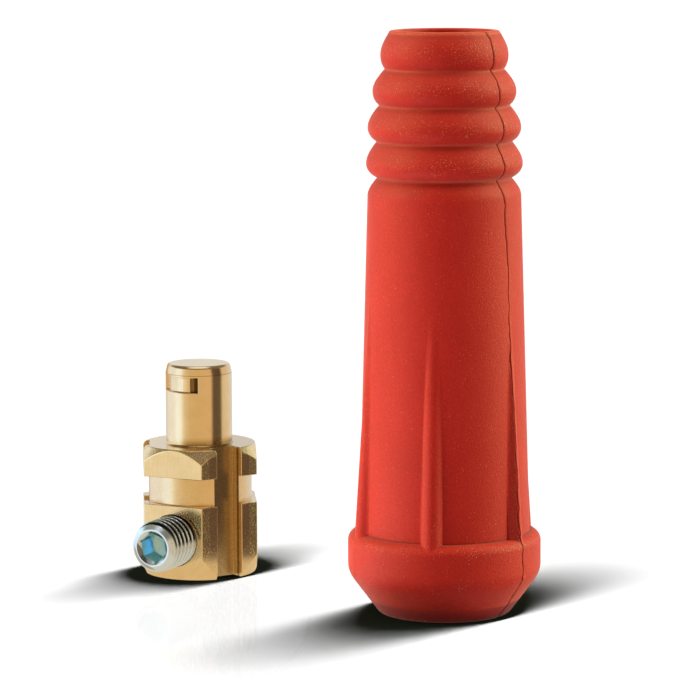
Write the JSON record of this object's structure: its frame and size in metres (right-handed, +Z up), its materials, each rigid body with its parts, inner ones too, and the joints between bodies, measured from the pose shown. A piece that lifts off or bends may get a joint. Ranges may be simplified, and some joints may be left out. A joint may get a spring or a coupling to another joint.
{
  "type": "welding cable plug",
  "caption": "Twist-lock welding cable plug taken apart: hexagonal brass contact plug with a clamp screw, and a ribbed rubber sleeve standing beside it.",
  "frame": {"origin": "centre of the cable bore's mouth in the brass plug, on the surface that the plug and the sleeve stand on", "axes": "+Z up along the contact pin, +Y the way the clamp screw goes in, +X towards the side where the sleeve stands"},
  "size_m": [0.0897, 0.0426, 0.1076],
  "materials": {
    "brass": "machined, bright",
    "screw_steel": "bright zinc plated, blue tint in the socket",
    "red_rubber": "matte moulded"
  },
  "bodies": {
    "plug": {"plug_body": "brass", "insulating_sleeve": "red_rubber"},
    "screw": {"clamp_screw": "screw_steel"}
  },
  "joints": [
    {"name": "clamp_screw_travel", "type": "slide", "parent": "plug", "child": "screw", "axis": [0, 1, 0], "range_m": [-0.002, 0.009]}
  ]
}
